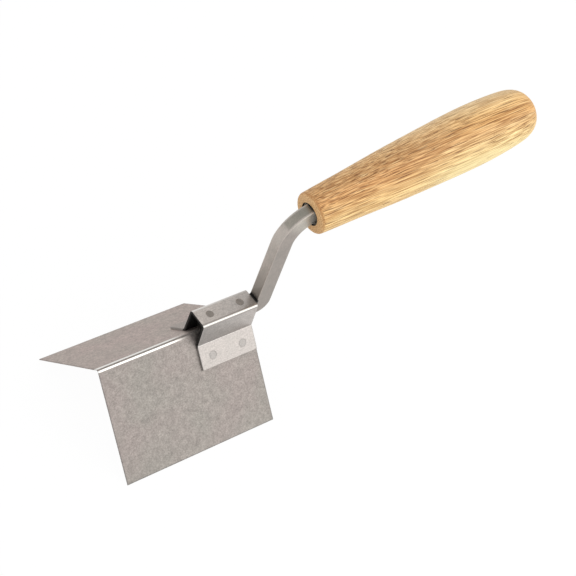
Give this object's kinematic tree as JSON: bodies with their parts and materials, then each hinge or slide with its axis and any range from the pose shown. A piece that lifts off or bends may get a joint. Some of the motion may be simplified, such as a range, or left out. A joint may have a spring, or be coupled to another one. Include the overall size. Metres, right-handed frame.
{
  "type": "corner trowel",
  "caption": "Outside corner trowel: a steel sheet folded to a right angle, a hat-section bracket on its ridge, a cranked flat bar and a turned wooden handle.",
  "frame": {"origin": "half way along the blade, on the line where its two working faces meet", "axes": "+X along the fold towards the handle, +Y across the blade, +Z from the fold to the handle side"},
  "size_m": [0.247, 0.0834, 0.1419],
  "materials": {
    "blade_steel": "matt, mottled",
    "bracket_steel": "satin",
    "bar_steel": "satin",
    "weld_metal": "dull, heat marked",
    "handle_wood": "bare, open grained"
  },
  "bodies": {
    "root": {"blade": "blade_steel", "bracket": "bracket_steel", "shank": "bar_steel", "handle": "handle_wood", "crown_spot_welds": "weld_metal", "flange_spot_welds": "weld_metal"}
  },
  "joints": []
}
